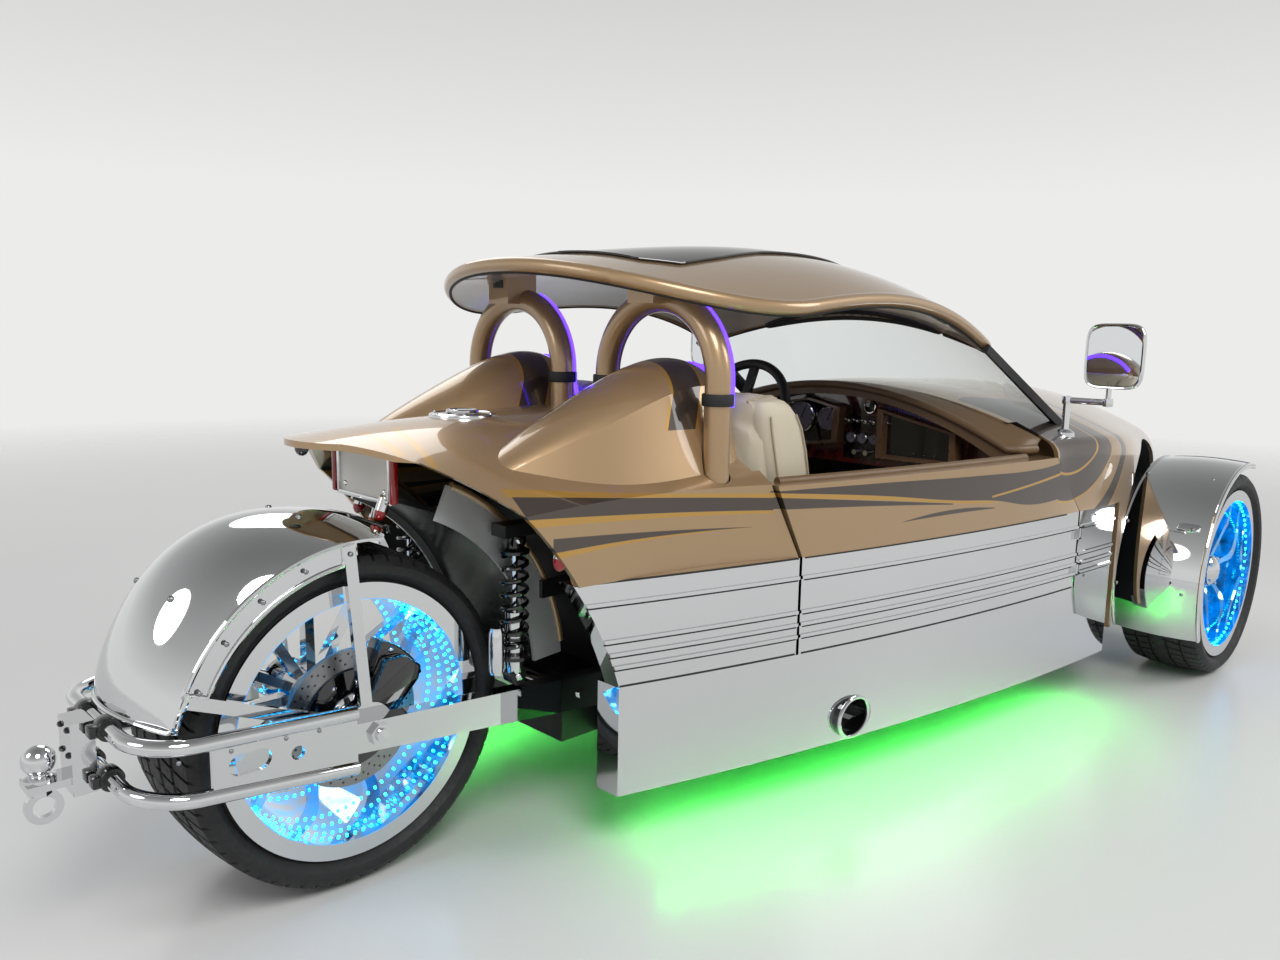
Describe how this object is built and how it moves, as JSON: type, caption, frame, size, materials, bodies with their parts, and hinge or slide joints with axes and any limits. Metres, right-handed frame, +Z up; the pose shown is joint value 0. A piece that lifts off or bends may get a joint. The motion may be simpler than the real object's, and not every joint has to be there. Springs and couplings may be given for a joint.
{
  "type": "three-wheeled motor roadster",
  "caption": "Two-seat three-wheeled roadster with steered front wheels, cycle fenders, swingarm rear wheel, roll hoops, hard roof and tow ball.",
  "frame": {"origin": "on the floor, under the middle of the overall length, on the centre plane", "axes": "+X forward, +Y left, +Z up"},
  "size_m": [3.678, 1.714, 1.2282],
  "materials": {
    "paint": "metallic champagne clear coat",
    "bright": "mirror polished",
    "tyre": "matt black",
    "black": "matt black",
    "frame_black": "satin black",
    "disc": "turned steel",
    "glass": "clear",
    "dark_glass": "gloss black",
    "leather": "cream",
    "trim": "tan",
    "wood": "gloss burgundy lacquer",
    "cast": "as cast"
  },
  "bodies": {
    "chassis": {"tub": "frame_black", "sills": "bright", "exhaust_outlets": "black", "side_panels": "bright", "rear_deck": "paint", "roll_hoops": "paint", "roof": "paint", "roof_glass": "dark_glass", "windshield": "glass", "windshield_frame": "frame_black", "nose": "paint", "wheel_wells": "black", "grille": "bright", "headlamps": "bright", "dash": "trim", "dash_panel": "wood", "console": "trim", "right_seat": "leather", "left_seat": "leather", "steering_column": "frame_black", "mirrors": "bright", "front_arms": "frame_black", "engine": "cast", "swingarm": "bright", "shocks": "frame_black", "rear_axle": "frame_black", "rear_fender": "bright", "inner_fender": "frame_black", "hitch_frame": "bright", "hitch_receiver": "frame_black", "tow_ball": "bright", "plate_bracket": "frame_black"},
    "rear_wheel": {"rear_tyre": "tyre", "rear_rim": "bright", "rear_disc": "disc"},
    "right_corner": {"right_knuckle": "frame_black", "right_front_fender": "bright"},
    "left_corner": {"left_knuckle": "frame_black", "left_front_fender": "bright"},
    "right_front_wheel": {"right_front_tyre": "tyre", "right_front_rim": "bright", "right_front_disc": "disc"},
    "left_front_wheel": {"left_front_tyre": "tyre", "left_front_rim": "bright", "left_front_disc": "disc"},
    "right_door": {"right_door_skin": "paint", "right_door_panel": "bright"},
    "left_door": {"left_door_skin": "paint", "left_door_panel": "bright"},
    "steering_wheel": {"steering_wheel": "black"}
  },
  "joints": [
    {"name": "rear_wheel_spin", "type": "hinge", "parent": "chassis", "child": "rear_wheel", "pos_m": [-1.333, 0, 0.314], "axis": [0, 1, 0], "continuous": true},
    {"name": "right_steer", "type": "hinge", "parent": "chassis", "child": "right_corner", "pos_m": [1.207, -0.6, 0.314], "axis": [0, 0, 1], "range_deg": [-28, 28]},
    {"name": "left_steer", "type": "hinge", "parent": "chassis", "child": "left_corner", "pos_m": [1.207, 0.6, 0.314], "axis": [0, 0, 1], "range_deg": [-28, 28]},
    {"name": "right_front_spin", "type": "hinge", "parent": "right_corner", "child": "right_front_wheel", "pos_m": [1.207, -0.734, 0.314], "axis": [0, 1, 0], "continuous": true},
    {"name": "left_front_spin", "type": "hinge", "parent": "left_corner", "child": "left_front_wheel", "pos_m": [1.207, 0.734, 0.314], "axis": [0, 1, 0], "continuous": true},
    {"name": "steering_wheel_turn", "type": "hinge", "parent": "chassis", "child": "steering_wheel", "pos_m": [0.147, 0.24, 0.772], "axis": [-0.9135, 0, 0.4067], "range_deg": [-392, 392]},
    {"name": "right_door_hinge", "type": "hinge", "parent": "chassis", "child": "right_door", "pos_m": [0.529, -0.64305, 0.45], "axis": [0, 0, 1], "range_deg": [0, 62]},
    {"name": "left_door_hinge", "type": "hinge", "parent": "chassis", "child": "left_door", "pos_m": [0.529, 0.64305, 0.45], "axis": [0, 0, -1], "range_deg": [0, 62]}
  ],
  "couplings": [
    {"joint": "left_steer", "follows": "right_steer", "ratio": 1},
    {"joint": "steering_wheel_turn", "follows": "right_steer", "ratio": 14}
  ]
}
